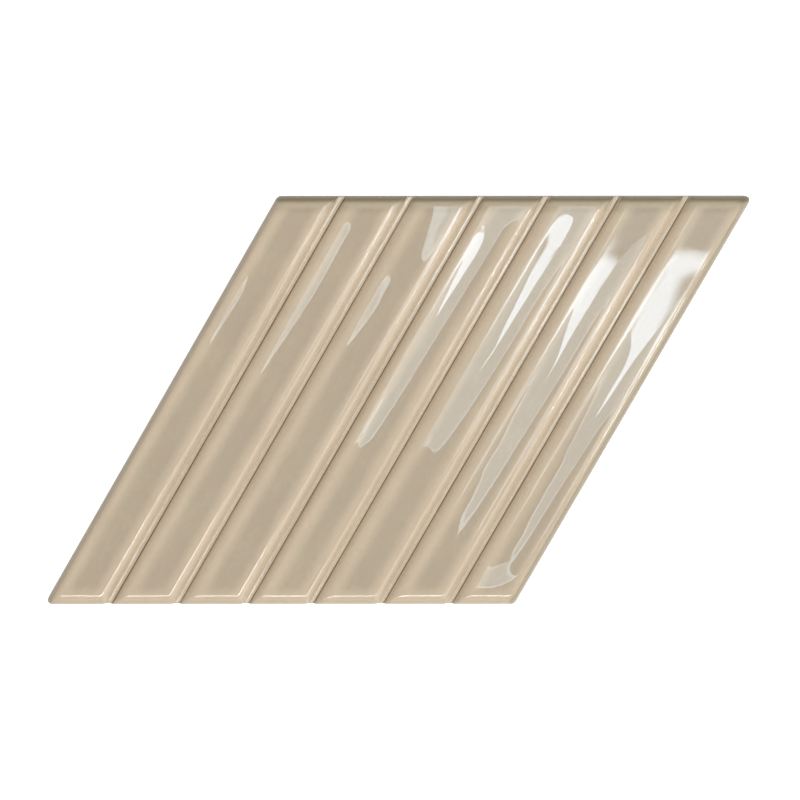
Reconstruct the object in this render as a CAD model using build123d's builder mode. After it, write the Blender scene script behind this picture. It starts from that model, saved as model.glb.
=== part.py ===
from build123d import *
from math import cos, radians, sin, sqrt
import os

# A glazed ceramic wall tile in the shape of a 60 degree rhombus, pressed and fired
# in one piece. Its face has seven raised bars, side by side and parallel to two of
# the tile's sides. Each bar is a long pillow: rounded shoulders all round, a narrow
# flat lip, and a shallow dish inside the lip where the glaze pools. The grooves
# between the bars run out at both ends. The back has the keying pattern of pressed
# tiles: a grid of shallow pockets that leaves flat ribs and a rim to lie on.
#
# Frame: the origin is in the middle of the back, on the plane of its ribs. +Z points
# out of the glazed face, and +X runs along the two sides that cut across the bars.

# Outline, in millimetres and degrees.
side = 152.0
acute_angle = 60.0
span = side * sin(radians(acute_angle))  # from one side to the opposite one
corner_radius = 1.6
outline_ease = 0.02  # keeps the corner outline off the walls, so only corners are cut

# Bars and grooves. The widths are those of the seven bars from left to right, foot
# to foot, and the six grooves share what they leave of the span.
bar_widths = (17.0, 17.0, 17.3, 16.05, 17.4, 17.1, 17.2)
groove_width = (span - sum(bar_widths)) / (len(bar_widths) - 1)
groove_depth = 2.1
groove_sag = 0.35  # the floor of a groove is a little hollow

# Heights above the ribs of the back.
thickness = 8.4
groove_height = thickness - groove_depth
back_chamfer = 0.7

# A bar's shoulder is one arc, level at the top. On the tile's own sides it comes down
# to an upright wall, and in a groove it stops at the foot of the bar.
shoulder_radius = 3.6
shoulder_width = sqrt(shoulder_radius**2 - (shoulder_radius - groove_depth) ** 2)

# The dish inside the lip: a slight turn down at the lip, a soft convex crown, and then
# a long hollow arc from crown to crown. At the bar's ends a ramp takes its place.
lip_width = 0.4
lip_angle = 1.5
crown_angle = 6.5
crown_radius = 14.0
ramp_depth = 0.45  # deeper than any dish, so the ramps only shape the dish's ends
ramp_drop = ramp_depth - crown_radius * (
    cos(radians(lip_angle)) - cos(radians(crown_angle))
)
clearance = 2.0  # how far the cutting shapes stand above the lips

# Keying pattern of the back.
pocket_count = 8
pocket_pitch = 18.0
pocket_side = 15.2
pocket_depth = 0.6
pocket_taper = 35.0

# Directions in the plane of the tile.
along_bars = Vector(cos(radians(acute_angle)), sin(radians(acute_angle)), 0)
across_bars = Vector(sin(radians(acute_angle)), -cos(radians(acute_angle)), 0)


def bar_feet():
    """The left and right foot of each bar, measured across the bars from the middle."""
    feet = []
    left = -span / 2
    for width in bar_widths:
        feet.append((left, left + width))
        left += width + groove_width
    return feet


def section_plane(offset=0.0):
    """A plane square to the bars, with its x across them and its y upwards."""
    return Plane(across_bars * offset, x_dir=across_bars, z_dir=-along_bars)


def rhombus(length):
    """The corners of a rhombus with sides of that length, like the tile's own."""
    first = Vector(length / 2, 0)
    second = along_bars * (length / 2)
    return [-first - second, first - second, first + second, second - first]


def outer_edges():
    """Both outer edges of a section: back, chamfer, upright wall and shoulder."""
    for direction in (-1, 1):
        wall = direction * span / 2
        wall_top = (wall, thickness - shoulder_radius)
        Polyline(
            (0, 0),
            (wall - direction * back_chamfer, 0),
            (wall, back_chamfer),
            wall_top,
        )
        TangentArc(
            wall_top,
            (wall - direction * shoulder_radius, thickness),
            tangent=(0, 1),
        )


def crowns(half_width):
    """The lip's turn down into the dish on both sides, about the section's y axis."""
    left = JernArc(
        start=(-half_width, thickness),
        tangent=(cos(radians(lip_angle)), -sin(radians(lip_angle))),
        radius=crown_radius,
        arc_size=lip_angle - crown_angle,
    )
    mirror(left, about=Plane.YZ)
    return left


def cutter_top(half_width):
    """Closes the outline of a dish cutter, clear above the lips."""
    Polyline(
        (-half_width, thickness),
        (-half_width, thickness + clearance),
        (half_width, thickness + clearance),
        (half_width, thickness),
    )


# The dishes, as the shape that is taken out of the bars' tops: one hollow for each
# bar, ended by ramps that run square to the tile's upper and lower sides.
with BuildPart() as dishes:
    for number, (left_foot, right_foot) in enumerate(bar_feet()):
        left_rim = left_foot + (shoulder_width if number else shoulder_radius)
        last = number == len(bar_widths) - 1
        right_rim = right_foot - (shoulder_radius if last else shoulder_width)
        half_dish = (right_rim - left_rim) / 2 - lip_width
        with BuildSketch(section_plane((left_rim + right_rim) / 2)):
            with BuildLine():
                crown = crowns(half_dish)
                end = crown @ 1
                TangentArc(end, (-end.X, end.Y), tangent=crown % 1)
                cutter_top(half_dish)
            make_face()
        extrude(amount=side, both=True)
    half_dish = span / 2 - shoulder_radius - lip_width
    with BuildSketch(Plane.YZ):
        with BuildLine():
            end = crowns(half_dish) @ 1
            ramp_foot = (
                end.X + ramp_drop / sin(radians(crown_angle)),
                thickness - ramp_depth,
            )
            Polyline(end, ramp_foot, (-ramp_foot[0], ramp_foot[1]), (-end.X, end.Y))
            cutter_top(half_dish)
        make_face()
    extrude(amount=side, both=True, mode=Mode.INTERSECT)

# The tile is what two long sections have in common: one drawn square to the bars, with
# their shoulders and the grooves, and one drawn along them, with the bars' ends.
with BuildPart() as wall_tile:
    with BuildSketch(section_plane()):
        with BuildLine():
            outer_edges()
            feet = bar_feet()
            level = -span / 2 + shoulder_radius
            for (_, foot), (next_foot, _) in zip(feet, feet[1:]):
                crest = (foot - shoulder_width, thickness)
                next_crest = (next_foot + shoulder_width, thickness)
                Line((level, thickness), crest)
                TangentArc(crest, (foot, groove_height), tangent=(1, 0))
                SagittaArc(
                    (foot, groove_height), (next_foot, groove_height), -groove_sag
                )
                TangentArc(next_crest, (next_foot, groove_height), tangent=(-1, 0))
                level = next_crest[0]
            Line((level, thickness), (span / 2 - shoulder_radius, thickness))
        make_face()
    extrude(amount=side, both=True)
    with BuildSketch(Plane.YZ):
        with BuildLine():
            outer_edges()
            top = span / 2 - shoulder_radius
            Line((-top, thickness), (top, thickness))
        make_face()
    extrude(amount=side, both=True, mode=Mode.INTERSECT)

    # Rounded corners in plan.
    with BuildSketch(Plane.XY) as outline:
        Polygon(*rhombus(side + 2 * outline_ease / sin(radians(acute_angle))))
        fillet(outline.vertices(), radius=corner_radius)
    extrude(amount=thickness + clearance, mode=Mode.INTERSECT)

    add(dishes.part, mode=Mode.SUBTRACT)

    # Keying pockets, in rows parallel to the tile's sides.
    steps = [(step - (pocket_count - 1) / 2) * pocket_pitch for step in range(pocket_count)]
    with BuildSketch(Plane.XY):
        with Locations(
            *[Vector(x, 0) + along_bars * row for row in steps for x in steps]
        ):
            Polygon(*rhombus(pocket_side))
    extrude(amount=pocket_depth, taper=pocket_taper, mode=Mode.SUBTRACT)

wall_tile.part.label = "wall_tile"
os.makedirs("parts", exist_ok=True)
export_step(wall_tile.part, "parts/wall_tile.step")
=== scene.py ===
from math import asin, cos, erf, exp, pi, radians, sin, sqrt, tan

import bmesh
import bpy
from bpy.props import FloatProperty, FloatVectorProperty, IntProperty, PointerProperty
from mathutils import Euler, Matrix, Vector


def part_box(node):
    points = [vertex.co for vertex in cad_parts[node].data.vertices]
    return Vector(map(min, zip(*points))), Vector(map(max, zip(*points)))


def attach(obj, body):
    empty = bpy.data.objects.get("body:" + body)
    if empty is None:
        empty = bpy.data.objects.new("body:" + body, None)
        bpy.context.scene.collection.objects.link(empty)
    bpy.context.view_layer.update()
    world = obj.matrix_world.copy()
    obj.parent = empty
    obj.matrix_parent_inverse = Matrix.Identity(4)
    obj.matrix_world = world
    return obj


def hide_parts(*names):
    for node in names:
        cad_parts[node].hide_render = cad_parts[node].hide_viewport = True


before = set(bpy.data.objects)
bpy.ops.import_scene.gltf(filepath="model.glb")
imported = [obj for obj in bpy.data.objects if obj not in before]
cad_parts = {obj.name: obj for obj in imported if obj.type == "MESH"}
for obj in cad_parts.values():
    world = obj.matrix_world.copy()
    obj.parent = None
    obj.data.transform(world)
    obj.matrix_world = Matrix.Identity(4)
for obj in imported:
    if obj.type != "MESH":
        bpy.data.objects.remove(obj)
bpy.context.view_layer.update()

bl_info = {
    "name": "Glazed rhombus wall tile",
    "version": (1, 0, 0),
    "blender": (4, 5, 0),
    "location": "View3D > Sidebar > Wall tile",
    "description": "A glazed rhombus wall tile with dished bars, and its studio",
    "category": "Add Mesh",
}

MM = 0.001
NODE = "wall_tile"

# The seven bars from left to right. Each has its width and the distances of its left and
# right crest from their feet, in millimetres, and then how the glaze settled in it: at a
# place along the bar, in millimetres from its middle, the steepest slope down from the
# left crest and the steepest slope up to the right crest, in degrees.
BARS = (
    (17.0, 3.4, 2.6, (
        (-76, 5, 5), (0, 6.2, 5), (28, 7.6, 5), (38, 7.8, 5), (49, 5.8, 5), (62, 4.5, 4),
        (76, 3, 3),
    )),
    (17.0, 3.2, 2.9, (
        (-76, 4, 4), (0, 4.9, 4), (12, 5.8, 4), (38, 6.5, 4), (64, 4.4, 3), (76, 1.5, 2),
    )),
    (17.3, 3.6, 3.3, (
        (-76, 2, 3), (15, 2.4, 3), (24, 3.1, 2.5), (33, 3.3, 2), (42, 2.3, 1.2),
        (54, 0, -0.5), (66, 0, -0.3), (76, 0.8, 1.2),
    )),
    (16.05, 2.6, 1.9, (
        (-76, 4, 5), (-40, 3, 4.5), (-20, 2.2, 4), (-14, 5, 3), (0, 6.4, 4.5),
        (28, 7.6, 6.2), (55, 8.4, 6.8), (67, 4, 5), (76, 2, 4),
    )),
    (17.4, 4.0, 2.4, (
        (-76, 2, 4), (-44, 0.5, 4), (-22, 0, 4), (-17, 4, 3.5), (0, 5.7, 3.6),
        (20, 8.6, 4.3), (38, 9.2, 5), (56, 8.8, 4), (66, 5.4, 2.6), (76, 3, 3),
    )),
    (17.1, 3.3, 2.9, (
        (-76, 3, 3), (-46, 1.6, 2.8), (-34, 3.4, 3.8), (-14, 6.2, 5.2), (8, 7.6, 5.4),
        (30, 6, 6), (43, 5, 5.2), (55, 1.8, 2.4), (66, 0.8, 1.2), (76, 0.8, 0.8),
    )),
    (17.2, 3.4, 3.2, (
        (-76, 0, 4.5), (-59, 0.5, 4.5), (-49, 3, 5.8), (-34, 5.2, 7), (-14, 7.5, 7),
        (5, 7.5, 5), (27, 4.4, 2.6), (36, 3.5, 1.3), (46, 3.2, 0.6), (58, 1.2, 0.7),
        (76, 0.8, 0.8),
    )),
)
# How far the crease beside each bar lies to the left of the bar's left foot.
CREASES = (0, 0.12, 0.3, 0.28, 0.42, 0.4, 0.42)

# In millimetres: the lip's width at a bar's ends, the length over which a crease runs
# out, how far a mitre's rounding reaches, and how close two places count as one.
LIP = 3.4
CREASE_FADE = 1.5
MITRE_REACH = 0.6
TINY = 1e-6
# How fast that rounding grows with the mitre's depth, and the part of a crown in which
# the glaze turns into the crest.
MITRE_GROWTH = 3
CREST_TURN = 0.62

# Lines of the mesh: how many there are, and in millimetres how far apart they are beside
# a crest or an end, and how high they run around the sides. Those in a groove stand at
# parts of its width, and those of a crease keep some room from the bar's foot.
SHOULDER_COLUMNS = 9
CREST_COLUMNS, CREST_STEP = 13, 0.15
DISH_COLUMNS = 15
GROOVE_COLUMNS = (0.06, 0.12, 0.2, 0.28, 0.36, 0.44, 0.54, 0.68)
FOOT_ROOM = 0.03
SHOULDER_ROWS = 10
END_ROWS, END_STEP = 25, 0.6
MIDDLE_ROWS = 68
WALL_LINES = (3.9, 3.1, 2.3, 1.5)
# Edges that turn by more than this stay sharp.
SMOOTH_ANGLE = radians(38)
# The back's faces lie below this height, in millimetres, and their normals point down.
BACK_HEIGHT, BACK_NORMAL = 0.01, -0.9

# Height over the floor at which the glaze ends, in millimetres.
GLAZE_FOOT = 2.9
GLAZE_IOR = 1.5
RIM_ROUGHNESS, CLAY_ROUGHNESS = 0.3, 0.85
BUMP_HEIGHT = 0.1 * MM
# Where glaze pools on a bar: how far from its feet and ends it starts to, and over what
# length it deepens, in millimetres.
POOL_LEFT, POOL_RIGHT = (3.0, 4.0), (2.4, 3.6)
POOL_LOW, POOL_HIGH = (2.4, 4.5), (3.2, 1.8)
# Where glaze breaks thin at the outer sides, and where shade is painted over the outer sides'
# edges, darkest at the upper side, which faces away from the light: how strongly, how far from
# the side that starts to fade, and over what length, in millimetres.
GROOVE_RIM = (1.0, -0.1, 0.5)
BAR_RIM = (0.35, 0, 1.0)
# The next four rows are painted shade over the edges: upper side strongest, then the left and
# right sides, and the lower side least.
PAINTED_SHADE_HIGH, PAINTED_SHADE_HIGH_FADE = (1.0, 0.9, 1.9), (0.26, 3.6, 3)
PAINTED_SHADE_LOW = (0.15, 1.0, 1.2)
PAINTED_SHADE_LEFT, PAINTED_SHADE_RIGHT = (0.6, 0.5, 2.0), (0.5, 1.7, 1.1)
# Thin lines along the bars: how strong they are, how far from a foot or from the crease
# they lie, and how wide they spread, in millimetres.
GROOVE_THREAD = (1.0, 1.0, 0.24)
# FOOT_SHADE is painted shade along a groove's left foot, and the seam's line is partly glaze
# pooled in the crease and partly painted shade there.
FOOT_SHADE = (0.5, 0.38, 0.16)
BAR_THREAD = (0.8, 0.4, 0.22)
SEAM_GLAZE_AND_SHADE_SPREAD = (1.0, 0, 0.17)

# Where the corners' rounding fades, and where the notches do: how far away that starts,
# and over what length, in millimetres.
CORNER_FADE = (0.2, 4)
NOTCH_FADE, NOTCH_SIDES = (0, 1.6), (0.55, 1.1)

# The bars' direction, and the turn that brings the Y axis along them.
ALONG_BARS = (0.5, 0.866)
BAR_TURN = radians(-30)

# The studio, in metres. The softbox is brighter along its frame. Its hot spot starts
# sharply on the left and at the bottom, and fades on the right and at the top, where the
# cloth past it is dimmer.
LAMP_HEIGHT = 0.608
SOFTBOX_PLACE, SOFTBOX_SIZE = (0.180, 0.014), (0.320, 0.246)
SOFTBOX_FRAME, FRAME_EASE = 0.008, 0.002
FRAME_GAIN, CLOTH_LOSS = 0.7, 0.6
SPOT_START = (0.110, -0.046)
SPOT_FADE = ((0.192, 0.222), (0.008, 0.038))
CLOTH_TINT, SPOT_TINT = (0.77, 0.93, 1), (0.74, 0.865, 1)
EDGE_FADE = (-0.05, 0.04)
FLOOR_GAP = 0.0001
# How brightly the floor glows for the background's rays, and the side that the light
# from all around is stronger on.
FLOOR_GLOW = 0.8
BRIGHT_SIDE = (0.6, -0.8, 0)


class TileSizes(bpy.types.PropertyGroup):
    """Sizes of the tile."""

    side: FloatProperty(
        name="Side", description="Length of each side of the rhombus",
        default=0.152, unit="LENGTH", precision=5,
    )
    acute_angle: FloatProperty(
        name="Acute angle", description="The smaller corner angle, and the bars' angle",
        default=radians(60), subtype="ANGLE",
    )
    thickness: FloatProperty(
        name="Thickness", description="From the back's ribs to the lips of the bars",
        default=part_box(NODE)[1].z, unit="LENGTH", precision=5,
    )
    groove_depth: FloatProperty(
        name="Groove depth", description="How far the grooves lie below the lips",
        default=0.0021, unit="LENGTH", precision=5,
    )
    groove_sag: FloatProperty(
        name="Groove sag", description="How hollow the floor of a groove is",
        default=0.00035, unit="LENGTH", precision=5,
    )
    shoulder_radius: FloatProperty(
        name="Shoulder radius", description="Radius of the bars' rounded shoulders",
        default=0.0036, unit="LENGTH", precision=5,
    )
    crown_width: FloatProperty(
        name="Crown width", description="From a crest to its dish's steepest slope",
        default=0.0012, unit="LENGTH", precision=5,
    )
    low_run: FloatProperty(
        name="Lower run-out", description="Length over which a dish ends at the bottom",
        default=0.011, unit="LENGTH", precision=5,
    )
    high_run: FloatProperty(
        name="Upper run-out", description="Length over which a dish ends at the top",
        default=0.008, unit="LENGTH", precision=5,
    )
    seam_width: FloatProperty(
        name="Seam width", description="Width of the fine crease at each bar's left foot",
        default=0.00044, unit="LENGTH", precision=5,
    )
    seam_depth: FloatProperty(
        name="Seam depth", description="Depth of the fine crease at each bar's left foot",
        default=0.0003, unit="LENGTH", precision=5,
    )
    back_chamfer: FloatProperty(
        name="Back chamfer", description="Chamfer between the sides and the back",
        default=0.0007, unit="LENGTH", precision=5,
    )
    notch_depth: FloatProperty(
        name="Notch depth", description="How far the lower side draws in at each groove",
        default=0.00035, unit="LENGTH", precision=5,
    )
    sharp_corner: FloatProperty(
        name="Acute corner rounding", description="Reach of the rounding at acute corners",
        default=0.0031, unit="LENGTH", precision=5,
    )
    blunt_corner: FloatProperty(
        name="Obtuse corner rounding", description="Reach of the rounding at obtuse corners",
        default=0.0012, unit="LENGTH", precision=5,
    )
    pockets: IntProperty(
        name="Pockets", description="Keying pockets along each side of the back",
        default=8, min=1,
    )
    pocket_pitch: FloatProperty(
        name="Pocket pitch", description="Distance from one keying pocket to the next",
        default=0.018, unit="LENGTH", precision=5,
    )
    pocket_side: FloatProperty(
        name="Pocket side", description="Side of a keying pocket",
        default=0.0152, unit="LENGTH", precision=5,
    )
    pocket_depth: FloatProperty(
        name="Pocket depth", description="Depth of a keying pocket",
        default=0.0006, unit="LENGTH", precision=5,
    )
    pocket_taper: FloatProperty(
        name="Pocket taper", description="Slope of a keying pocket's walls",
        default=radians(35), subtype="ANGLE",
    )


class TileColours(bpy.types.PropertyGroup):
    """Colours of the glaze and of the clay, and of the shade and light painted on the glaze."""

    thin_glaze: FloatVectorProperty(
        name="Thin glaze", description="Glaze on the lips and crowns of the bars",
        default=(0.625, 0.49, 0.342), subtype="COLOR", min=0, max=1,
    )
    pooled_glaze: FloatVectorProperty(
        name="Pooled glaze", description="Glaze where it stands deeper, in the dishes",
        default=(0.478, 0.375, 0.264), subtype="COLOR", min=0, max=1,
    )
    # Glaze on the shoulders and in the grooves: partly the glaze's own colour, and partly
    # painted light, set a little lighter to make up for the shade on the slopes.
    flank_glaze_and_light: FloatVectorProperty(
        name="Flank glaze", description="Glaze on the shoulders beside the grooves",
        default=(0.63, 0.5, 0.352), subtype="COLOR", min=0, max=1,
    )
    thread: FloatVectorProperty(
        name="Groove thread", description="Pale thread along the floor of a groove",
        default=(0.72, 0.6, 0.455), subtype="COLOR", min=0, max=1,
    )
    # The seam's dark colour is partly glaze pooled in the crease at each bar's left foot, and
    # partly painted shade in that crease.
    seam: FloatVectorProperty(
        name="Seam", description="Dark crease at each bar's left foot",
        default=(0.15, 0.1, 0.05), subtype="COLOR", min=0, max=1,
    )
    rim: FloatVectorProperty(
        name="Rim", description="Glaze that broke thin over the tile's outer edges",
        default=(0.24, 0.2, 0.14), subtype="COLOR", min=0, max=1,
    )
    # Painted shade over the outer sides' edges: darkest on the upper side, which faces away
    # from the light, less on the left and right, least at the bottom.
    painted_shade: FloatVectorProperty(
        name="Painted shade", description="Painted shade over the outer sides' edges",
        default=(0.37, 0.37, 0.29), subtype="COLOR", min=0, max=1,
    )
    clay: FloatVectorProperty(
        name="Clay", description="Bare fired clay of the lower sides and the back",
        default=(0.56, 0.45, 0.335), subtype="COLOR", min=0, max=1,
    )


class StudioSettings(bpy.types.PropertyGroup):
    """The studio around the tile."""

    camera_distance: FloatProperty(
        name="Camera distance", description="From the camera to the tile",
        default=0.8, unit="LENGTH",
    )
    camera_tilt: FloatProperty(
        name="Camera tilt", description="How far the camera stands towards the upper side",
        default=radians(3.9), subtype="ANGLE",
    )
    camera_roll: FloatProperty(
        name="Camera roll", description="Turn of the camera about its line of sight",
        default=radians(-0.03), subtype="ANGLE",
    )
    camera_lens: FloatProperty(
        name="Focal length", description="Focal length on a 36 mm sensor",
        default=112.2, unit="CAMERA",
    )
    camera_aim: FloatVectorProperty(
        name="Aim", description="The point that the camera looks at",
        default=(0.00108, 0.00041, 0.006), subtype="TRANSLATION", unit="LENGTH",
    )
    floor_size: FloatProperty(
        name="Floor size", description="Side of the floor", default=6.0, unit="LENGTH",
    )
    floor_colour: FloatVectorProperty(
        name="Floor", description="Colour of the floor",
        default=(0.8, 0.8, 0.79), subtype="COLOR", min=0, max=1,
    )
    ambient: FloatProperty(
        name="Ambient light", description="Mean strength of the light from all around",
        default=0.835,
    )
    ambient_lean: FloatProperty(
        name="Ambient lean", description="How much stronger that light is on one side",
        default=0.5,
    )
    softbox_strength: FloatProperty(
        name="Softbox strength", description="Strength of the softbox", default=3.95,
    )
    bulb_strength: FloatProperty(
        name="Spot strength", description="Strength of the softbox's hot spot over its cloth",
        default=2.8,
    )
    strip_strength: FloatProperty(
        name="Strip strength", description="Strength of the low strip light", default=22.0,
    )
    edge_strength: FloatProperty(
        name="Edge strength", description="Strength of the narrow light for the crests",
        default=44.0,
    )
    side_strength: FloatProperty(
        name="Side strength", description="Strength of the panel on the lower right",
        default=3.1,
    )


def smooth(value):
    """Turns 0..1 into an eased 0..1, and holds it at both ends."""
    value = min(max(value, 0.0), 1.0)
    return value * value * (3 - 2 * value)


def rise(distance, start, length):
    """0 up to the start, eased to 1 over the length."""
    return smooth((distance - start) / length)


def fall(distance, strength, start, length):
    """The strength up to the start, eased to 0 over the length."""
    return strength * (1 - rise(distance, start, length))


def line(distance, strength, place, width):
    """The strength on a thin line at a place, and less and less beside it."""
    return strength * exp(-(((distance - place) / width) ** 2))


def meeting(first, second, reach):
    """How much is added to the larger of two values to round off where they meet."""
    meet = max(reach - abs(first - second), 0.0) / reach
    return meet * meet * reach / 4


def eased(rows, place):
    """The two slopes at a place along a bar, eased between the rows given."""
    for low, high in zip(rows, rows[1:]):
        if place <= high[0]:
            part = smooth((place - low[0]) / (high[0] - low[0]))
            return [a + (b - a) * part for a, b in zip(low[1:], high[1:])]
    return rows[-1][1:]


class Relief:
    """The face of the tile, in millimetres: heights over the back, across the bars
    (from the tile's middle) and along them (from their middles)."""

    def __init__(self, sizes):
        self.angle = sizes.acute_angle
        self.side = sizes.side / MM
        self.span = self.side * sin(self.angle)
        self.top = sizes.thickness / MM
        self.groove = sizes.groove_depth / MM
        self.sag = sizes.groove_sag / MM
        self.radius = sizes.shoulder_radius / MM
        self.shoulder = sqrt(self.radius**2 - (self.radius - self.groove) ** 2)
        self.crown = sizes.crown_width / MM
        self.low_run = sizes.low_run / MM
        self.high_run = sizes.high_run / MM
        self.seam_width = sizes.seam_width / MM
        self.seam_depth = sizes.seam_depth / MM
        self.gap = (self.span - sum(bar[0] for bar in BARS)) / (len(BARS) - 1)
        self.feet = []
        left = -self.span / 2
        for width, *_ in BARS:
            self.feet.append((left, left + width))
            left += width + self.gap
        self.grooves = [
            (left, right, crease)
            for (_, left), (right, _), crease in zip(self.feet, self.feet[1:], CREASES[1:])
        ]

    def place(self, across, along):
        """The point of the plane at that place."""
        skew = across / sin(self.angle)
        return skew + along * cos(self.angle), along * sin(self.angle)

    def found(self, x, y):
        """The place across and along the bars of a point of the plane."""
        return x * sin(self.angle) - y * cos(self.angle), y / sin(self.angle)

    def ends(self, along):
        """How far a place is from the lower and from the upper side."""
        height = along * sin(self.angle)
        return max(self.span / 2 + height, 0.0), max(self.span / 2 - height, 0.0)

    def bar_at(self, across):
        """The number of the bar at that place, or None in a groove."""
        for number, (left, right) in enumerate(self.feet):
            if left - TINY <= across <= right + TINY:
                return number
        return None

    def groove_at(self, across):
        """The left and right side of the groove at that place, and how far its crease
        lies from its right side."""
        for left, right, crease in self.grooves:
            if left <= across <= right:
                return left, right, crease
        return None

    def drop(self, distance, reach):
        """How far a rounded shoulder lies below its crest."""
        inward = min(max(reach - distance, 0.0), self.radius)
        return self.radius - sqrt(self.radius**2 - inward**2)

    def reaches(self, number):
        """How wide the arcs of a bar's two shoulders are."""
        left = self.radius if number == 0 else self.shoulder
        right = self.radius if number == len(BARS) - 1 else self.shoulder
        return left, right

    def side_drop(self, number, from_left, from_right):
        """How far a bar's sides lie below its crests."""
        _, left_crest, right_crest, _ = BARS[number]
        left, right = self.reaches(number)
        return max(
            self.drop(from_left * left / left_crest, left),
            self.drop(from_right * right / right_crest, right),
        )

    def dish(self, inside, width, down, up):
        """Height of the glaze over its left crest, at a distance inside it. Its slope
        runs evenly from one crown to the other, and each crown turns into a crest."""
        growth = (tan(down) + tan(up)) / (width - 2 * self.crown)
        start = -tan(down) - growth * self.crown
        turn = self.crown * CREST_TURN

        def eased_away(distance, slope, change):
            bell = exp(-((distance / turn) ** 2))
            return (
                slope * turn * sqrt(pi) / 2 * erf(distance / turn)
                + change * turn * turn / 2 * (1 - bell)
            )

        end = start + growth * width
        away = eased_away(width, end, -growth) - eased_away(width - inside, end, -growth)
        even = start * inside + growth * inside**2 / 2
        return even - eased_away(inside, start, growth) - away

    def height(self, across, along):
        """Height of the face at a place."""
        low, high = self.ends(along)
        end_drop = max(self.drop(low, self.radius), self.drop(high, self.radius))
        number = self.bar_at(across)
        if number is None:
            return self.groove_height(across, end_drop, low, high)
        left, right = self.feet[number]
        from_left, from_right = across - left, right - across
        side_drop = self.side_drop(number, from_left, from_right)
        # A rounded mitre where a side shoulder meets an end shoulder.
        reach = min(MITRE_REACH, MITRE_GROWTH * min(side_drop, end_drop)) + TINY
        drop = max(side_drop, end_drop) + meeting(side_drop, end_drop, reach)
        drop = min(drop, self.radius)
        # The glaze in the dish, which settled a little its own way in each bar.
        width, left_crest, right_crest, rows = BARS[number]
        down, up = (radians(slope) for slope in eased(rows, along))
        run = rise(low, LIP, self.low_run) * rise(high, LIP, self.high_run)
        span = width - left_crest - right_crest
        inside = min(max(from_left - left_crest, 0.0), span)
        level = max(self.dish(span, span, down, up), 0.0)
        ease = smooth(min(from_left / left_crest, from_right / right_crest))
        height = self.top - drop + (self.dish(inside, span, down, up) - level) * ease * run
        if number:
            height -= self.crease(from_left + CREASES[number], low, high)
        return min(height, self.top)

    def crease(self, distance, low, high):
        """Depth of the fine crease at a bar's left foot, which runs out at both ends."""
        fade = smooth(min(low, high) / CREASE_FADE)
        return self.seam_depth * fade * max(0.0, 1 - 2 * distance / self.seam_width)

    def groove_height(self, across, end_drop, low, high):
        """Height of a groove's floor."""
        left, right, crease = self.groove_at(across)
        part = (across - (left + right) / 2) / (self.gap / 2)
        floor = self.top - self.groove - self.sag * (1 - part * part)
        floor -= self.crease(abs(right - across - crease), low, high)
        return min(floor, self.top - end_drop)

    def shoulder_stations(self, reach, steps):
        """Distances from a foot over its shoulder, at equal turns of the arc."""
        turn = asin(min(reach / self.radius, 1.0))
        return [reach - self.radius * sin(turn * (1 - n / steps)) for n in range(steps)]

    def bar_columns(self, number):
        """Places of the long lines across a bar, from its left foot."""
        width, left_crest, right_crest, _ = BARS[number]
        left_reach, right_reach = self.reaches(number)
        left_arc = self.shoulder_stations(left_reach, SHOULDER_COLUMNS)
        right_arc = self.shoulder_stations(right_reach, SHOULDER_COLUMNS)
        crown = [CREST_STEP * n for n in range(CREST_COLUMNS)]
        flat = width - left_crest - right_crest - 2 * crown[-1]
        found = [d * left_crest / left_reach for d in left_arc]
        found += [left_crest + d for d in crown]
        inner = left_crest + crown[-1]
        found += [inner + flat * n / DISH_COLUMNS for n in range(1, DISH_COLUMNS)]
        found += [width - right_crest - d for d in crown]
        found += [width - d * right_crest / right_reach for d in right_arc]
        if number:
            found += [self.seam_width / 4, self.seam_width / 2]
        return found

    def groove_columns(self, crease):
        """Places of the long lines across a groove, from its left side."""
        quarter = self.seam_width / 4
        beside = [crease + quarter * n for n in (2, 1, 0, -1, -2)]
        found = [self.gap * part for part in GROOVE_COLUMNS]
        return found + [self.gap - d for d in beside if d > FOOT_ROOM]

    def columns(self):
        """Places across the bars of the face's long lines."""
        found = []
        for number, (left, _) in enumerate(self.feet):
            found += [left + d for d in self.bar_columns(number)]
        for left, _, crease in self.grooves:
            found += [left + d for d in self.groove_columns(crease)]
        return sorted(found)

    def rows(self):
        """Places along the bars of the face's short lines."""
        near = self.shoulder_stations(self.radius, SHOULDER_ROWS)
        near += [self.radius + END_STEP * n for n in range(END_ROWS)]
        low = near[-1]
        flat = self.span - 2 * low
        middle = [low + flat * n / MIDDLE_ROWS for n in range(1, MIDDLE_ROWS)]
        heights = near + middle + [self.span - d for d in near][::-1]
        return [(d - self.span / 2) / sin(self.angle) for d in heights]


def deselect_all():
    """Leaves nothing selected."""
    if bpy.context.object and bpy.context.object.mode != "OBJECT":
        bpy.ops.object.mode_set(mode="OBJECT")
    bpy.ops.object.select_all(action="DESELECT")


def select_faces(piece, test):
    """Selects the faces of a piece in edit mode that pass the test."""
    mesh = bmesh.from_edit_mesh(piece.data)
    for face in mesh.faces:
        face.select_set(test(face))
    mesh.select_flush(False)
    bmesh.update_edit_mesh(piece.data)


def add_face(relief):
    """The glazed face: a grid whose lines are moved to the bars, grooves and ends."""
    columns, rows = relief.columns(), relief.rows()
    deselect_all()
    bpy.ops.mesh.primitive_grid_add(
        x_subdivisions=len(columns) - 1, y_subdivisions=len(rows) - 1, size=2
    )
    piece = bpy.context.object
    piece.name = piece.data.name = "glazed_tile"
    for vertex in piece.data.vertices:
        across = columns[round((vertex.co.x + 1) / 2 * (len(columns) - 1))]
        along = rows[round((vertex.co.y + 1) / 2 * (len(rows) - 1))]
        x, y = relief.place(across, along)
        vertex.co = Vector((x, y, relief.height(across, along))) * MM
    return piece


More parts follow.
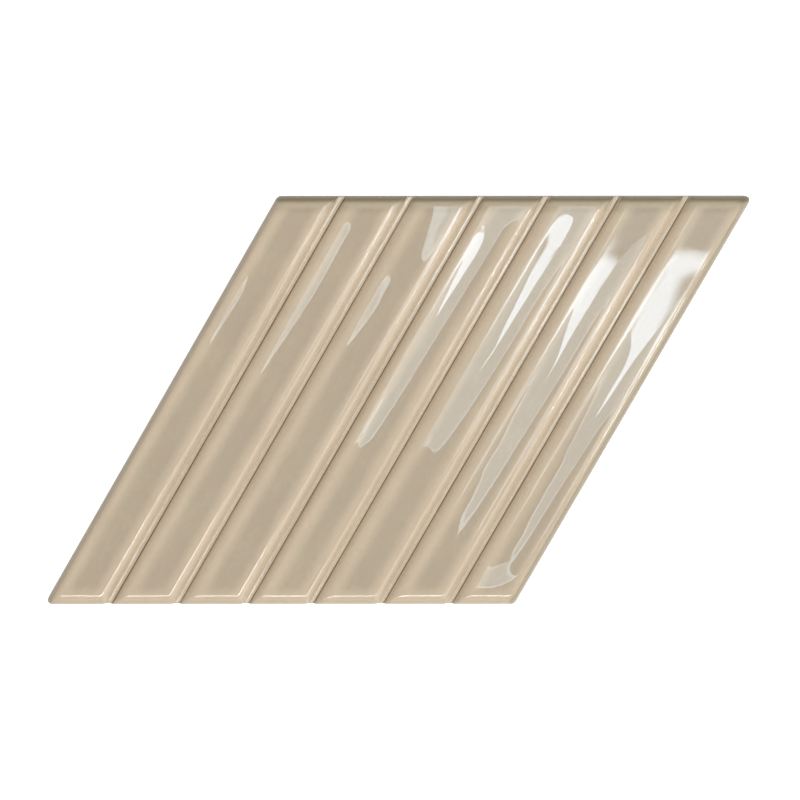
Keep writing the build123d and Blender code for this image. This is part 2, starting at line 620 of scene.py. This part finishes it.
def add_walls(piece, relief, chamfer):
    """The sides, drawn down from the face's border, the chamfer and the flat back."""
    wall_top = relief.top - relief.radius
    bpy.ops.object.mode_set(mode="EDIT")
    bpy.ops.mesh.select_mode(type="EDGE")
    bpy.ops.mesh.select_all(action="DESELECT")
    bpy.ops.mesh.select_non_manifold()
    heights = WALL_LINES + (chamfer,)
    for height, above in zip(heights, (wall_top,) + heights):
        bpy.ops.mesh.extrude_region_move(
            TRANSFORM_OT_translate={"value": (0, 0, (height - above) * MM)}
        )
    bpy.ops.mesh.extrude_region_move(
        TRANSFORM_OT_translate={"value": (0, 0, -chamfer * MM)}
    )
    inner = 1 - chamfer / (relief.span / 2)
    bpy.ops.transform.resize(value=(inner, inner, 1), center_override=(0, 0, 0))
    bpy.ops.mesh.edge_face_add()
    bpy.ops.mesh.select_all(action="SELECT")
    bpy.ops.mesh.normals_make_consistent(inside=False)
    bpy.ops.object.mode_set(mode="OBJECT")


def is_back(face):
    """True for the faces that lie flat on the floor."""
    return face.calc_center_median().z < BACK_HEIGHT * MM and face.normal.z < BACK_NORMAL


def key_back(piece, sizes):
    """The keying pockets: the back is cut along their sides, and they are set in."""
    along = Vector((cos(sizes.acute_angle), sin(sizes.acute_angle), 0))
    across = Vector((sin(sizes.acute_angle), -cos(sizes.acute_angle), 0))
    middles = [
        (n - (sizes.pockets - 1) / 2) * sizes.pocket_pitch for n in range(sizes.pockets)
    ]
    half, quarter = sizes.pocket_side / 2, sizes.pocket_side / 4
    bpy.ops.object.mode_set(mode="EDIT")
    bpy.ops.mesh.select_mode(type="FACE")
    for middle in middles:
        for cut in (middle - half, middle + half):
            select_faces(piece, is_back)
            bpy.ops.mesh.bisect(plane_co=(cut, 0, 0), plane_no=across)
            select_faces(piece, is_back)
            bpy.ops.mesh.bisect(plane_co=along * cut, plane_no=(0, 1, 0))

    def in_pocket(face):
        if not is_back(face):
            return False
        centre = face.calc_center_median()
        row = centre.y / along.y
        column = centre.x - row * along.x
        return all(
            min(abs(value - middle) for middle in middles) < quarter
            for value in (row, column)
        )

    select_faces(piece, in_pocket)
    bpy.ops.mesh.inset(
        thickness=sizes.pocket_depth * tan(sizes.pocket_taper),
        depth=-sizes.pocket_depth,
        use_individual=True,
    )
    bpy.ops.object.mode_set(mode="OBJECT")


def groove_marks(relief, across, outer):
    """How the glaze is marked in a groove, and the shade painted at its feet."""
    marks = {"flank": 1.0, "rim": fall(outer, *GROOVE_RIM)}
    groove = relief.groove_at(across)
    if groove:
        left, right, crease = groove
        marks["thread"] = line(across - left + crease, *GROOVE_THREAD)
        # The crease's dark line, partly pooled glaze and partly painted shade, and painted
        # shade along the groove's left foot.
        marks["seam"] = line(right - across - crease, *SEAM_GLAZE_AND_SHADE_SPREAD)
        marks["seam"] += line(across - left, *FOOT_SHADE)
    return marks


def bar_marks(relief, number, across, low, high, outer):
    """How the glaze is marked on a bar, and where shade is painted on it."""
    _, left_crest, right_crest, _ = BARS[number]
    left, right = relief.feet[number]
    from_left, from_right = across - left, right - across
    sides = rise(from_left, *POOL_LEFT) * rise(from_right, *POOL_RIGHT)
    ends = rise(low, *POOL_LOW) * rise(high, *POOL_HIGH)
    # Painted shade over the outer sides' edges, darkest at the upper side.
    painted_shade = [fall(high, *PAINTED_SHADE_HIGH) + fall(high, *PAINTED_SHADE_HIGH_FADE), fall(low, *PAINTED_SHADE_LOW)]
    if number == 0:
        painted_shade.append(fall(from_left, *PAINTED_SHADE_LEFT))
    if number == len(BARS) - 1:
        painted_shade.append(fall(from_right, *PAINTED_SHADE_RIGHT))
    return {
        "pool": sides * ends,
        "flank": 1 - smooth(min(from_left / left_crest, from_right / right_crest)),
        "thread": line(from_right, *BAR_THREAD),
        # The crease's dark line: partly pooled glaze, partly painted shade.
        "seam": line(from_left + CREASES[number], *SEAM_GLAZE_AND_SHADE_SPREAD) if number else 0.0,
        "rim": fall(outer, *BAR_RIM),
        "painted_shade": min(max(painted_shade), 1.0),
    }


def mark_glaze(piece, relief):
    """Attributes that tell the glaze where it pools, thins, breaks or is creased, and where
    shade is painted on it.
    """
    names = ("pool", "flank", "thread", "seam", "rim", "painted_shade", "glazed")
    marks = {name: [] for name in names}
    for vertex in piece.data.vertices:
        x, y, z = vertex.co / MM
        across, along = relief.found(x, y)
        low, high = relief.ends(along)
        outer = min(low, high, relief.span / 2 - abs(across))
        number = relief.bar_at(across)
        if number is None:
            found = groove_marks(relief, across, outer)
        else:
            found = bar_marks(relief, number, across, low, high, outer)
        found["glazed"] = z
        for name in names:
            marks[name].append(found.get(name, 0.0))
    for name in names:
        attribute = piece.data.attributes.new(name, "FLOAT", "POINT")
        attribute.data.foreach_set("value", marks[name])


def round_outline(piece, relief, sizes):
    """Rounds the corners in plan, and draws the lower side in at the grooves' ends."""
    notch = sizes.notch_depth / MM
    half_angle = relief.angle / 2
    acute = Vector((cos(half_angle), sin(half_angle)))
    obtuse = Vector((-sin(half_angle), cos(half_angle)))
    corners = (
        (-1, -1, acute, sizes.sharp_corner / MM, half_angle),
        (1, 1, -acute, sizes.sharp_corner / MM, half_angle),
        (1, -1, obtuse, sizes.blunt_corner / MM, pi / 2 - half_angle),
        (-1, 1, -obtuse, sizes.blunt_corner / MM, pi / 2 - half_angle),
    )
    middles = [(left + right) / 2 for left, right, _ in relief.grooves]
    for vertex in piece.data.vertices:
        x, y, z = vertex.co / MM
        across, along = relief.found(x, y)
        low, high = relief.ends(along)
        move = Vector((0.0, 0.0))
        for side, end, inward, reach, angle in corners:
            first = relief.span / 2 - side * across
            second = low if end < 0 else high
            near = fall(min(first, second), 1, *CORNER_FADE)
            move += inward * (meeting(first, second, reach) / sin(angle) * near)
        if z > sizes.back_chamfer / MM / 2:
            aside = min(abs(across - middle) for middle in middles)
            move.y += fall(aside, notch, *NOTCH_SIDES) * fall(low, 1, *NOTCH_FADE)
        vertex.co = Vector((x + move.x, y + move.y, z)) * MM


def node_input(node, name):
    """The socket with that name which is in use on the node."""
    return next(s for s in node.inputs if s.name == name and s.enabled)


def add_node(tree, kind, label="", settings=None, **values):
    """Adds a shader node. A value may be a number, a colour or another node's socket."""
    node = tree.nodes.new(kind)
    node.label = label
    for name, value in (settings or {}).items():
        setattr(node, name, value)
    for name, value in values.items():
        socket = node_input(node, name.replace("_", " "))
        if isinstance(value, bpy.types.NodeSocket):
            tree.links.new(value, socket)
        else:
            socket.default_value = value
    return node


def calc(tree, operation, first, second=None, third=None, clamp=False):
    """A math node's value."""
    node = tree.nodes.new("ShaderNodeMath")
    node.operation = operation
    node.use_clamp = clamp
    for socket, value in zip(node.inputs, (first, second, third)):
        if isinstance(value, bpy.types.NodeSocket):
            tree.links.new(value, socket)
        elif value is not None:
            socket.default_value = value
    return node.outputs[0]


def mixed(tree, factor, first, second, blend="MIX"):
    """A mix of two colours."""
    node = tree.nodes.new("ShaderNodeMix")
    node.data_type = "RGBA"
    node.blend_type = blend
    sockets = (node.inputs[0], node.inputs[6], node.inputs[7])
    for socket, value in zip(sockets, (factor, first, second)):
        if isinstance(value, bpy.types.NodeSocket):
            tree.links.new(value, socket)
        else:
            socket.default_value = value if isinstance(value, (int, float)) else (*value, 1)
    return node.outputs[2]


def mark(tree, name):
    """The value of one of the piece's attributes."""
    settings = {"attribute_name": name}
    return add_node(tree, "ShaderNodeAttribute", settings=settings).outputs["Fac"]


def bar_grain_group():
    """A noise drawn out along the bars. Size is in metres across them."""
    group = bpy.data.node_groups.new("grain_along_bars", "ShaderNodeTree")
    socket = group.interface.new_socket
    socket(name="Size", in_out="INPUT", socket_type="NodeSocketFloat").default_value = 0.002
    socket(name="Stretch", in_out="INPUT", socket_type="NodeSocketFloat").default_value = 4.0
    socket(name="Detail", in_out="INPUT", socket_type="NodeSocketFloat").default_value = 2.0
    socket(name="Value", in_out="OUTPUT", socket_type="NodeSocketFloat")
    start = group.nodes.new("NodeGroupInput")
    end = group.nodes.new("NodeGroupOutput")
    place = add_node(group, "ShaderNodeTexCoord").outputs["Object"]
    turned = add_node(
        group, "ShaderNodeMapping", "Across and along the bars", {"vector_type": "TEXTURE"},
        Vector=place, Rotation=(0, 0, BAR_TURN),
    ).outputs[0]
    parts = add_node(group, "ShaderNodeSeparateXYZ", Vector=turned)
    along = calc(group, "DIVIDE", parts.outputs["Y"], start.outputs["Stretch"])
    whole = add_node(
        group, "ShaderNodeCombineXYZ", X=parts.outputs["X"], Y=along, Z=parts.outputs["Z"]
    ).outputs[0]
    scale = calc(group, "DIVIDE", 1.0, start.outputs["Size"])
    noise = add_node(
        group, "ShaderNodeTexNoise", Vector=whole, Scale=scale, Detail=start.outputs["Detail"]
    )
    group.links.new(noise.outputs[0], end.inputs["Value"])
    return group


def grain(tree, group, size, stretch=1.0, detail=2.0):
    """The value of the bars' grain at a size given in metres."""
    node = tree.nodes.new("ShaderNodeGroup")
    node.node_tree = group
    node.inputs["Size"].default_value = size
    node.inputs["Stretch"].default_value = stretch
    node.inputs["Detail"].default_value = detail
    return node.outputs["Value"]


def varied(tree, group, low, high, size, stretch=1.0, detail=2.0):
    """low..high, varied by the middle half of the bars' grain at a size in metres."""
    node = add_node(
        tree, "ShaderNodeMapRange", Value=grain(tree, group, size, stretch, detail),
        From_Min=0.25, From_Max=0.75, To_Min=low, To_Max=high,
    )
    return node.outputs[0]


def shaded(tree, colour, shade):
    """A colour made lighter or darker by a factor."""
    tint = add_node(tree, "ShaderNodeCombineColor", Red=shade, Green=shade, Blue=shade)
    return mixed(tree, 1.0, colour, tint.outputs[0], "MULTIPLY")


def bumped(tree, shader, strength, height):
    """Gives a shader a fine bump."""
    bump = add_node(
        tree, "ShaderNodeBump", Strength=strength, Distance=BUMP_HEIGHT, Height=height
    )
    tree.links.new(bump.outputs[0], shader.inputs["Normal"])


def new_material(name):
    """A material with an empty Principled shader, and that shader."""
    material = bpy.data.materials.new(name)
    material.use_nodes = True
    return material, material.node_tree, material.node_tree.nodes["Principled BSDF"]


def glaze_colour(tree, colours, group, bare):
    """The colour of the glaze, and of the clay where it is bare."""
    # Pooled glaze in the dishes, with an uneven edge.
    waver = calc(tree, "ADD", varied(tree, group, -0.16, 0.16, 0.004, 3),
                 varied(tree, group, -0.1, 0.1, 0.0009, 2))
    edge = calc(tree, "ADD", mark(tree, "pool"), waver)
    pooled = calc(tree, "MULTIPLY", edge, 1.0, clamp=True)
    colour = mixed(tree, pooled, colours.thin_glaze, colours.pooled_glaze)
    # Flank glaze on the shoulders and in the grooves, set a little lighter as painted light
    # against their shade.
    colour = mixed(tree, mark(tree, "flank"), colour, colours.flank_glaze_and_light)
    # The pale thread in each groove, and the dark line in its crease, which is partly pooled
    # glaze and partly painted shade.
    threads = calc(tree, "MULTIPLY", mark(tree, "thread"),
                   varied(tree, group, 0.1, 0.9, 0.0005, 3))
    colour = mixed(tree, threads, colour, colours.thread)
    seam_glaze_and_shade_mask = calc(tree, "MULTIPLY", mark(tree, "seam"),
                 varied(tree, group, 0.75, 1.0, 0.0007, 8))
    colour = mixed(tree, seam_glaze_and_shade_mask, colour, colours.seam)
    # Glaze broken thin at the outer sides, and painted shade over their edges, darkest at the
    # upper side.
    colour = mixed(tree, mark(tree, "rim"), colour, colours.rim)
    painted_shade = mixed(tree, mark(tree, "painted_shade"), (1, 1, 1), colours.painted_shade)
    colour = mixed(tree, 1.0, colour, painted_shade, "MULTIPLY")
    # Fine drawn lines on the flanks and in the grooves, and faint clouds all over.
    lines = calc(tree, "MULTIPLY", varied(tree, group, 0.95, 1.05, 0.0006, 30, 1),
                 varied(tree, group, 0.92, 1.08, 0.0004, 2.5, 1))
    change = calc(tree, "MULTIPLY", calc(tree, "SUBTRACT", lines, 1.0), mark(tree, "flank"))
    lined = calc(tree, "ADD", change, 1.0)
    clouds = calc(tree, "MULTIPLY", varied(tree, group, 0.975, 1.025, 0.012, 1.5, 3),
                  varied(tree, group, 0.985, 1.015, 0.0016, 1.2))
    colour = shaded(tree, colour, calc(tree, "MULTIPLY", clouds, lined))
    return mixed(tree, bare, colour, colours.clay)


def glaze_material(colours, group):
    """Gloss taupe glaze: darker where it pools, paler on the lips, dark in the creases from
    pooled glaze and painted shade, and with painted shade over the outer edges.
    """
    material, tree, shader = new_material("taupe_glaze")
    # Bare clay below the ragged foot of the glaze.
    foot = calc(tree, "ADD", mark(tree, "glazed"), varied(tree, group, -0.7, 0.7, 0.003, 1, 3))
    bare = calc(tree, "SUBTRACT", GLAZE_FOOT, foot, clamp=True)
    colour = glaze_colour(tree, colours, group, bare)
    tree.links.new(colour, shader.inputs["Base Color"])
    gloss = varied(tree, group, 0.0, 0.012, 0.006, 2)
    rough = calc(tree, "MULTIPLY_ADD", mark(tree, "rim"), RIM_ROUGHNESS, gloss)
    rough = calc(tree, "MAXIMUM", rough, calc(tree, "MULTIPLY", bare, CLAY_ROUGHNESS))
    tree.links.new(rough, shader.inputs["Roughness"])
    shader.inputs["IOR"].default_value = GLAZE_IOR
    pits = calc(tree, "MULTIPLY", bare, grain(tree, group, 0.0004, 1, 4))
    bumped(tree, shader, 0.5, pits)
    return material


def clay_material(colours, group):
    """Bare fired clay with a fine sandy grain."""
    material, tree, shader = new_material("bare_clay")
    shade = calc(tree, "MULTIPLY", varied(tree, group, 0.93, 1.05, 0.011, 1, 4),
                 varied(tree, group, 0.92, 1.06, 0.0005, 1, 3))
    tree.links.new(shaded(tree, colours.clay, shade), shader.inputs["Base Color"])
    tree.links.new(varied(tree, group, 0.78, 0.92, 0.003), shader.inputs["Roughness"])
    bumped(tree, shader, 0.6, grain(tree, group, 0.0004, 1, 4))
    return material


def background_rays(tree):
    """1 for the rays that should see the white background."""
    path = add_node(tree, "ShaderNodeLightPath")
    seen = calc(tree, "MAXIMUM", path.outputs["Is Camera Ray"], path.outputs["Is Glossy Ray"])
    return calc(tree, "MAXIMUM", seen, path.outputs["Is Transmission Ray"])


def floor_material(colour):
    """A plain pale floor that shows white, and keeps the object's shadow."""
    material, tree, shader = new_material("pale_floor")
    shader.inputs["Base Color"].default_value = (*colour, 1)
    shader.inputs["Roughness"].default_value = 0.9
    shader.inputs["Specular IOR Level"].default_value = 0.1
    shader.inputs["Emission Color"].default_value = (1, 1, 1, 1)
    glow = calc(tree, "MULTIPLY", background_rays(tree), FLOOR_GLOW)
    tree.links.new(glow, shader.inputs["Emission Strength"])
    return material


def set_world(settings):
    """Soft light from all around, stronger from the lower right. The background is white."""
    world = bpy.data.worlds.new("studio")
    bpy.context.scene.world = world
    world.use_nodes = True
    tree = world.node_tree
    tree.nodes.clear()
    direction = add_node(tree, "ShaderNodeTexCoord").outputs["Generated"]
    towards = add_node(
        tree, "ShaderNodeVectorMath", "Towards the light", {"operation": "DOT_PRODUCT"}
    )
    tree.links.new(direction, towards.inputs[0])
    towards.inputs[1].default_value = BRIGHT_SIDE
    lean = calc(tree, "MULTIPLY_ADD", towards.outputs["Value"], settings.ambient_lean, 1.0)
    strength = calc(tree, "MULTIPLY", lean, settings.ambient)
    seen = background_rays(tree)
    shown = calc(tree, "MULTIPLY_ADD", seen, calc(tree, "SUBTRACT", 1.0, strength), strength)
    light = add_node(tree, "ShaderNodeBackground", Color=(1, 1, 1, 1), Strength=shown)
    end = tree.nodes.new("ShaderNodeOutputWorld")
    tree.links.new(light.outputs[0], end.inputs["Surface"])


def lamp_material(name, strength, colour=(1, 1, 1), build=None):
    """An emitting material. build may change its strength and colour over the lamp."""
    material = bpy.data.materials.new(name)
    material.use_nodes = True
    tree = material.node_tree
    tree.nodes.clear()
    glow = add_node(tree, "ShaderNodeEmission", Color=(*colour, 1), Strength=strength)
    if build:
        level, tint = build(tree)
        tree.links.new(calc(tree, "MULTIPLY", level, strength), glow.inputs["Strength"])
        if tint:
            tree.links.new(tint, glow.inputs["Color"])
    end = tree.nodes.new("ShaderNodeOutputMaterial")
    tree.links.new(glow.outputs[0], end.inputs["Surface"])
    return material


def add_lamp(name, centre, size, material, turn=(pi, 0, 0), lights=True):
    """A flat lamp at its place in the studio, which the camera doesn't see. One that
    doesn't light shows in reflections only."""
    deselect_all()
    bpy.ops.mesh.primitive_plane_add(size=1)
    lamp = bpy.context.object
    lamp.name = lamp.data.name = name
    scale = Matrix.Diagonal((size[0], size[1], 1, 1))
    lamp.data.transform(Matrix.Translation(centre) @ Euler(turn).to_matrix().to_4x4() @ scale)
    lamp.data.materials.append(material)
    lamp.visible_camera = False
    lamp.visible_shadow = False
    lamp.visible_diffuse = lights


def lamp_place(tree):
    """The X and Y of a place on a lamp."""
    place = add_node(tree, "ShaderNodeTexCoord").outputs["Object"]
    parts = add_node(tree, "ShaderNodeSeparateXYZ", Vector=place)
    return parts.outputs["X"], parts.outputs["Y"]


def faded(tree, value, start, end):
    """1 below the start, eased to 0 at the end."""
    return add_node(
        tree, "ShaderNodeMapRange", settings={"interpolation_type": "SMOOTHSTEP"},
        Value=value, From_Min=start, From_Max=end, To_Min=1.0, To_Max=0.0,
    ).outputs[0]


def softbox_glow(tree, bulb_strength):
    """A cloth that is a little brighter along its frame, and its hot spot."""
    place = lamp_place(tree)
    past = []
    for value, middle, size in zip(place, SOFTBOX_PLACE, SOFTBOX_SIZE):
        away = calc(tree, "ABSOLUTE", calc(tree, "SUBTRACT", value, middle))
        past.append(calc(tree, "SUBTRACT", away, size / 2 - SOFTBOX_FRAME))
    past = calc(tree, "MAXIMUM", *past)
    near_frame = calc(tree, "MULTIPLY", past, 1 / FRAME_EASE, clamp=True)
    cloth = calc(tree, "MULTIPLY_ADD", near_frame, FRAME_GAIN, 1.0)
    starts = [calc(tree, "GREATER_THAN", *pair) for pair in zip(place, SPOT_START)]
    inside = calc(tree, "MULTIPLY", *starts)
    fades = [faded(tree, value, *reach) for value, reach in zip(place, SPOT_FADE)]
    spot = calc(tree, "MULTIPLY", *fades)
    dim = calc(tree, "MULTIPLY", calc(tree, "SUBTRACT", 1.0, spot), CLOTH_LOSS)
    level = calc(tree, "SUBTRACT", calc(tree, "MULTIPLY", spot, bulb_strength), dim)
    hot = calc(tree, "MULTIPLY", inside, spot)
    tint = mixed(tree, hot, CLOTH_TINT, SPOT_TINT)
    return calc(tree, "MULTIPLY_ADD", inside, level, cloth), tint


def edge_glow(tree):
    """A light that fades towards its lower end."""
    parts = [calc(tree, "MULTIPLY", *pair) for pair in zip(lamp_place(tree), ALONG_BARS)]
    fade = faded(tree, calc(tree, "ADD", *parts), *EDGE_FADE)
    return calc(tree, "SUBTRACT", 1.0, fade), None


def add_floor(settings):
    """The floor, just below the back."""
    deselect_all()
    bpy.ops.mesh.primitive_plane_add(size=settings.floor_size, location=(0, 0, -FLOOR_GAP))
    floor = bpy.context.object
    floor.name = floor.data.name = "floor"
    floor.data.materials.append(floor_material(settings.floor_colour))


def add_camera(scene, settings):
    """The camera, which looks down at the tile from a little towards its upper side."""
    tilt = settings.camera_tilt
    data = bpy.data.cameras.new("camera")
    data.lens = settings.camera_lens
    data.sensor_width = 36
    data.clip_start = 0.01
    camera = bpy.data.objects.new("camera", data)
    scene.collection.objects.link(camera)
    away = Vector((0, sin(tilt), cos(tilt))) * settings.camera_distance
    turn = Matrix.Rotation(-tilt, 4, "X") @ Matrix.Rotation(settings.camera_roll, 4, "Z")
    camera.matrix_world = Matrix.Translation(Vector(settings.camera_aim) + away) @ turn
    scene.camera = camera


class TILE_OT_glazed_tile(bpy.types.Operator):
    """Models the glazed tile in place of its CAD node"""

    bl_idname = "tile.glazed_tile"
    bl_label = "Glazed tile"

    def execute(self, context):
        sizes, colours = context.scene.tile_sizes, context.scene.tile_colours
        relief = Relief(sizes)
        piece = add_face(relief)
        add_walls(piece, relief, sizes.back_chamfer / MM)
        key_back(piece, sizes)
        mark_glaze(piece, relief)
        round_outline(piece, relief, sizes)
        group = bar_grain_group()
        piece.data.materials.append(glaze_material(colours, group))
        piece.data.materials.append(clay_material(colours, group))
        for face in piece.data.polygons:
            face.material_index = 1 if face.center.z < sizes.back_chamfer else 0
        deselect_all()
        piece.select_set(True)
        context.view_layer.objects.active = piece
        bpy.ops.object.shade_smooth_by_angle(angle=SMOOTH_ANGLE)
        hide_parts(NODE)
        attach(piece, "root")
        return {"FINISHED"}


class TILE_OT_studio(bpy.types.Operator):
    """Sets up the floor, the lamps, the surrounding light and the camera"""

    bl_idname = "tile.studio"
    bl_label = "Studio"

    def execute(self, context):
        scene, settings = context.scene, context.scene.tile_studio
        scene.view_settings.view_transform = "Standard"
        set_world(settings)
        add_floor(settings)
        cloth = lamp_material(
            "softbox_cloth", settings.softbox_strength,
            build=lambda tree: softbox_glow(tree, settings.bulb_strength),
        )
        add_lamp("softbox", (*SOFTBOX_PLACE, LAMP_HEIGHT), SOFTBOX_SIZE, cloth)
        add_lamp("strip", (-0.05, -0.2985, LAMP_HEIGHT), (0.5, 0.053),
                 lamp_material("strip_glow", settings.strip_strength), lights=False)
        add_lamp("edge_light", (0.316, -0.143, LAMP_HEIGHT), (0.04, 0.13),
                 lamp_material("edge_glow", settings.edge_strength, (1, 0.97, 0.92), edge_glow),
                 (pi, 0, BAR_TURN), lights=False)
        add_lamp("side_panel", (0.85, -0.68, 0.85), (0.9, 0.6),
                 lamp_material("side_glow", settings.side_strength, (1, 0.95, 0.93)),
                 (radians(128), 0, radians(-126)), lights=False)
        add_camera(scene, settings)
        return {"FINISHED"}


class TILE_PT_panel(bpy.types.Panel):
    """Sizes, colours and the steps that make the tile"""

    bl_idname = "TILE_PT_panel"
    bl_label = "Wall tile"
    bl_space_type = "VIEW_3D"
    bl_region_type = "UI"
    bl_category = "Wall tile"

    def draw(self, context):
        scene = context.scene
        for group in (scene.tile_sizes, scene.tile_colours, scene.tile_studio):
            column = self.layout.column()
            for name in group.bl_rna.properties.keys():
                if name not in ("rna_type", "name"):
                    column.prop(group, name)
        for operator in OPERATORS:
            self.layout.operator(operator.bl_idname)


GROUPS = (TileSizes, TileColours, StudioSettings)
OPERATORS = (TILE_OT_glazed_tile, TILE_OT_studio)


def register():
    for group in GROUPS + OPERATORS + (TILE_PT_panel,):
        bpy.utils.register_class(group)
    bpy.types.Scene.tile_sizes = PointerProperty(type=TileSizes)
    bpy.types.Scene.tile_colours = PointerProperty(type=TileColours)
    bpy.types.Scene.tile_studio = PointerProperty(type=StudioSettings)


def unregister():
    del bpy.types.Scene.tile_studio
    del bpy.types.Scene.tile_colours
    del bpy.types.Scene.tile_sizes
    for group in reversed(GROUPS + OPERATORS + (TILE_PT_panel,)):
        bpy.utils.unregister_class(group)


def main():
    register()
    bpy.ops.tile.glazed_tile()
    bpy.ops.tile.studio()


if __name__ == "__main__":
    main()
